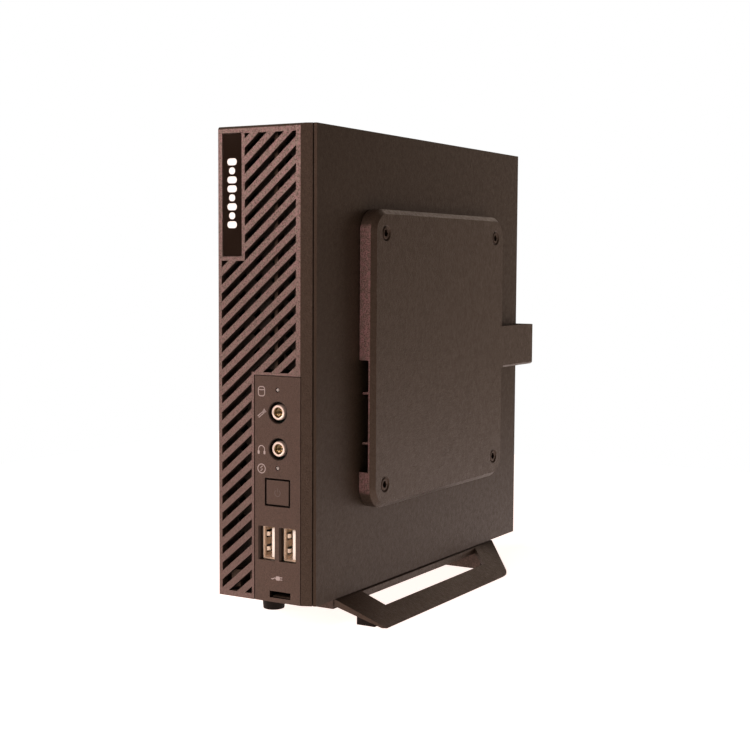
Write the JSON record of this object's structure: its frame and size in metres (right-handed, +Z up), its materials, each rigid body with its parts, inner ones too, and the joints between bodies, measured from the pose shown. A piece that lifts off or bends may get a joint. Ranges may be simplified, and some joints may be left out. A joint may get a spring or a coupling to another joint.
{
  "type": "mini pc",
  "caption": "Slim upright mini PC with a slanted-slot front bezel, front sockets and power button, a screwed side tray with a rear hook, and an outrigger stand.",
  "frame": {"origin": "on the desk, under the centre of the whole object's box", "axes": "+Z up, the slotted front faces -Y, the side tray and the stand's wing are on +X"},
  "size_m": [0.0664, 0.1996, 0.207],
  "materials": {
    "case_steel": "satin powder coat, brown black",
    "bezel_plastic": "fine spark grain, brown black",
    "panel_plastic": "smooth satin, brown black",
    "cover_plastic": "fine grained, brown black",
    "stand_metal": "satin paint over a die casting",
    "label_gloss": "gloss black",
    "black_plastic": "satin moulded",
    "bare_steel": "zinc plated",
    "socket_nickel": "bright nickel",
    "white_plastic": "moulded",
    "clear_lens": "clear moulded",
    "guard_steel": "black phosphated sheet",
    "black_screw": "black oxide",
    "rubber": "matt",
    "circuit_board": "solder mask",
    "aluminium": "extruded"
  },
  "bodies": {
    "root": {"chassis": "case_steel", "rear_panel": "case_steel", "side_cover": "case_steel", "front_bezel": "bezel_plastic", "io_panel": "panel_plastic", "mount_cover": "cover_plastic", "stand": "stand_metal", "label_plate": "label_gloss", "power_switch": "black_plastic", "microphone_jack": "black_plastic", "headphone_jack": "black_plastic", "fan_frame": "black_plastic", "memory_socket": "black_plastic", "cell_holder": "black_plastic", "solid_state_drive": "black_plastic", "power_inlet": "black_plastic", "rear_audio_port": "black_plastic", "bezel_guard": "guard_steel", "lid_screw_bottom": "bare_steel", "lid_screw_top": "bare_steel", "io_board_screw_1": "bare_steel", "io_board_screw_2": "bare_steel", "stand_screw_front": "bare_steel", "stand_screw_rear": "bare_steel", "board_screw_1": "bare_steel", "board_screw_2": "bare_steel", "board_screw_3": "bare_steel", "board_screw_4": "bare_steel", "processor": "bare_steel", "coin_cell": "bare_steel", "drive_bracket": "bare_steel", "io_shield": "bare_steel", "network_port": "bare_steel", "usb_shell_left": "socket_nickel", "usb_shell_right": "socket_nickel", "microphone_collar": "socket_nickel", "headphone_collar": "socket_nickel", "rear_usb_stack": "socket_nickel", "display_port": "socket_nickel", "usb_tongue_left": "white_plastic", "usb_tongue_right": "white_plastic", "drive_light_pipe": "clear_lens", "power_light_pipe": "clear_lens", "cover_screw_1": "black_screw", "cover_screw_2": "black_screw", "cover_screw_3": "black_screw", "cover_screw_4": "black_screw", "hook_screw": "black_screw", "stand_pad_front": "rubber", "stand_pad_rear": "rubber", "foot_front": "rubber", "foot_rear": "rubber", "front_io_board": "circuit_board", "motherboard": "circuit_board", "memory_module": "circuit_board", "heatsink": "aluminium"},
    "power_button": {"power_button": "panel_plastic", "switch_plunger": "black_plastic"},
    "fan_rotor": {"fan_rotor": "black_plastic"}
  },
  "joints": [
    {"name": "power_button_press", "type": "slide", "parent": "root", "child": "power_button", "axis": [0, 1, 0], "range_m": [0, 0.0008], "stiffness_N_per_m": 600, "springref_m": -0.0005},
    {"name": "fan_spin", "type": "hinge", "parent": "root", "child": "fan_rotor", "pos_m": [-0.0012, 0.0312, 0.092], "axis": [1, 0, 0], "continuous": true}
  ]
}
